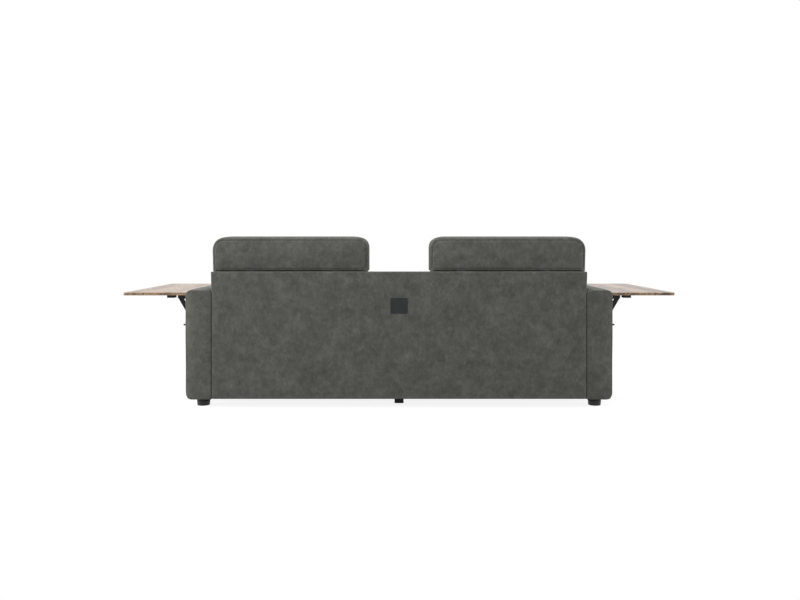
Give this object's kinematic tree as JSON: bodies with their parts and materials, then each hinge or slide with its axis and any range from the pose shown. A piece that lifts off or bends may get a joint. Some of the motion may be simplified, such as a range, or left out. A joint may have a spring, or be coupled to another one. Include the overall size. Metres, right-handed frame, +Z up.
{
  "type": "two-seater sofa",
  "caption": "Upholstered sofa with tilting headrests, a padded centre console and a fold-down wooden table on the outside of each arm.",
  "frame": {"origin": "on the floor under the middle of the sofa", "axes": "+X to the sitter's left, -Y the way the sitter faces, +Z up"},
  "size_m": [2.808, 0.98, 0.86],
  "materials": {
    "upholstery": "matte",
    "webbing": "matte",
    "dust_cloth": "matte",
    "plate": "matte",
    "zinc_steel": "satin",
    "foot_block": "matte",
    "foot_plastic": "satin",
    "table_wood": "satin",
    "bumper_rubber": "matte",
    "bracket_steel": "satin",
    "frame_timber": "matte"
  },
  "bodies": {
    "sofa": {"arm_bottom_rail_left": "frame_timber", "arm_bottom_rail_right": "frame_timber", "arm_cover_left": "upholstery", "arm_cover_right": "upholstery", "arm_inner_board_left": "frame_timber", "arm_inner_board_right": "frame_timber", "arm_outer_board_left": "frame_timber", "arm_outer_board_right": "frame_timber", "arm_top_rail_left": "frame_timber", "arm_top_rail_right": "frame_timber", "back_cover": "upholstery", "back_cushion_left": "upholstery", "back_cushion_right": "upholstery", "back_plate": "plate", "back_post_centre": "frame_timber", "back_post_left": "frame_timber", "back_post_right": "frame_timber", "back_top_rail": "frame_timber", "back_webbing": "webbing", "centre_beam": "frame_timber", "centre_feet": "foot_block", "console_back_pad": "upholstery", "console_cover": "upholstery", "console_front_board": "frame_timber", "console_side_left": "frame_timber", "console_side_right": "frame_timber", "console_top_board": "frame_timber", "dust_cover": "dust_cloth", "foot_bolts": "zinc_steel", "foot_front_left": "foot_plastic", "foot_front_right": "foot_plastic", "foot_rear_left": "foot_plastic", "foot_rear_right": "foot_plastic", "front_border": "upholstery", "headrest_straps_left": "zinc_steel", "headrest_straps_right": "zinc_steel", "seat_cross_rail_left": "frame_timber", "seat_cross_rail_right": "frame_timber", "seat_cushion_left": "upholstery", "seat_cushion_right": "upholstery", "seat_front_rail": "frame_timber", "seat_rear_rail": "frame_timber", "seat_webbing_left": "webbing", "seat_webbing_right": "webbing", "table_bumpers_left": "bumper_rubber", "table_bumpers_right": "bumper_rubber", "table_wall_plates_left": "bracket_steel", "table_wall_plates_right": "bracket_steel"},
    "table_left": {"table_board_left": "table_wood", "table_arms_left": "bracket_steel"},
    "struts_left": {"table_struts_left": "bracket_steel"},
    "headrest_left": {"headrest_left": "upholstery", "headrest_board_left": "frame_timber", "headrest_leaves_left": "zinc_steel"},
    "table_right": {"table_board_right": "table_wood", "table_arms_right": "bracket_steel"},
    "struts_right": {"table_struts_right": "bracket_steel"},
    "headrest_right": {"headrest_right": "upholstery", "headrest_board_right": "frame_timber", "headrest_leaves_right": "zinc_steel"}
  },
  "joints": [
    {"name": "table_left_fold", "type": "hinge", "parent": "sofa", "child": "table_left", "pos_m": [1.086, 0, 0.546], "axis": [0, 1, 0], "range_deg": [0, 90]},
    {"name": "strut_left_fold", "type": "hinge", "parent": "table_left", "child": "struts_left", "pos_m": [1.137, 0, 0.546], "axis": [0, -1, 0], "range_deg": [0, 120]},
    {"name": "headrest_left_tilt", "type": "hinge", "parent": "sofa", "child": "headrest_left", "pos_m": [0.546, 0.336, 0.688], "axis": [1, 0, 0], "range_deg": [0, 40]},
    {"name": "table_right_fold", "type": "hinge", "parent": "sofa", "child": "table_right", "pos_m": [-1.086, 0, 0.546], "axis": [0, -1, 0], "range_deg": [0, 90]},
    {"name": "strut_right_fold", "type": "hinge", "parent": "table_right", "child": "struts_right", "pos_m": [-1.137, 0, 0.546], "axis": [0, 1, 0], "range_deg": [0, 120]},
    {"name": "headrest_right_tilt", "type": "hinge", "parent": "sofa", "child": "headrest_right", "pos_m": [-0.546, 0.336, 0.688], "axis": [1, 0, 0], "range_deg": [0, 40]}
  ],
  "couplings": [
    {"joint": "strut_left_fold", "follows": "table_left_fold", "ratio": 1.3333},
    {"joint": "strut_right_fold", "follows": "table_right_fold", "ratio": 1.3333}
  ]
}
